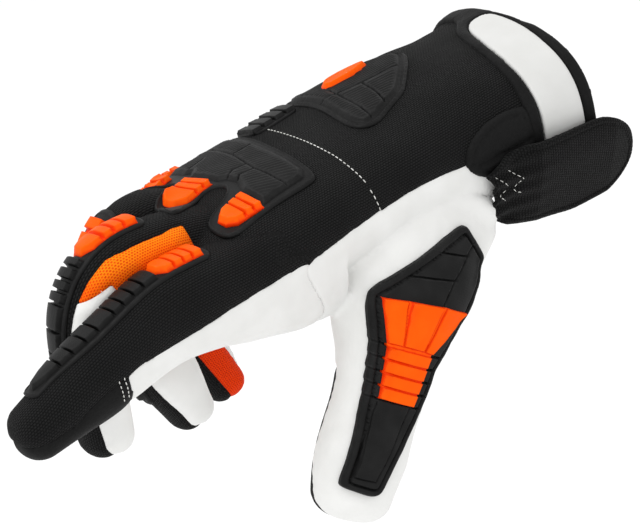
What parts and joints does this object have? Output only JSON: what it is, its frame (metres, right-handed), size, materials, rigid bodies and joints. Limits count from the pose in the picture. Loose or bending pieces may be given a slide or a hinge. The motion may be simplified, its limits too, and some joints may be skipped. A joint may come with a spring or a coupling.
{
  "type": "right-hand impact work glove",
  "caption": "Right-hand work glove in its worn form, with a black knit back, white leather palm, orange mesh between the fingers and raised rubber guards.",
  "frame": {"origin": "centre of the cuff's open rim, where the wrist goes in", "axes": "+X out of the cuff, along the forearm; +Z out of the back of the hand; the thumb hangs on the -Y side and the fingers point along -X"},
  "size_m": [0.2556, 0.1111, 0.1284],
  "materials": {
    "black_knit": "ribbed stretch knit, matte",
    "black_neoprene": "knit-faced neoprene band, matte",
    "black_leather": "smooth synthetic leather, satin",
    "white_leather": "fine-grained goatskin, matte",
    "white_binding": "plain white woven strip, blank",
    "orange_mesh": "open warp-knit mesh, matte",
    "black_rubber": "moulded thermoplastic rubber, satin, finely ribbed",
    "orange_rubber": "moulded thermoplastic rubber, satin"
  },
  "bodies": {
    "root": {"back_panel": "black_knit", "bridge_guard": "black_rubber", "cuff_band": "black_neoprene", "cuff_inset": "white_binding", "cuff_panel": "black_knit", "index_back": "black_knit", "index_guard": "black_rubber", "index_middle_web": "orange_mesh", "index_pad": "orange_rubber", "index_palm": "white_leather", "index_tip_patch": "black_leather", "knuckle_guard": "black_rubber", "knuckle_pad_1": "orange_rubber", "knuckle_pad_2": "orange_rubber", "knuckle_pad_3": "orange_rubber", "knuckle_pad_4": "orange_rubber", "little_back": "black_knit", "little_guard": "black_rubber", "little_pad": "orange_rubber", "little_palm": "white_leather", "middle_back": "black_knit", "middle_guard": "black_rubber", "middle_pad": "orange_rubber", "middle_palm": "white_leather", "middle_ring_web": "orange_mesh", "palm_panel": "white_leather", "pull_tab": "black_knit", "ring_back": "black_knit", "ring_guard": "black_rubber", "ring_little_web": "orange_mesh", "ring_pad": "orange_rubber", "ring_palm": "white_leather", "thumb_front": "white_leather", "thumb_guard": "black_rubber", "thumb_pad": "orange_rubber", "thumb_panel": "white_leather", "thumb_tip_patch": "black_leather", "wrist_emblem": "orange_rubber", "wrist_guard": "black_rubber", "wrist_panel": "black_knit", "wrist_patch": "black_leather"}
  },
  "joints": []
}
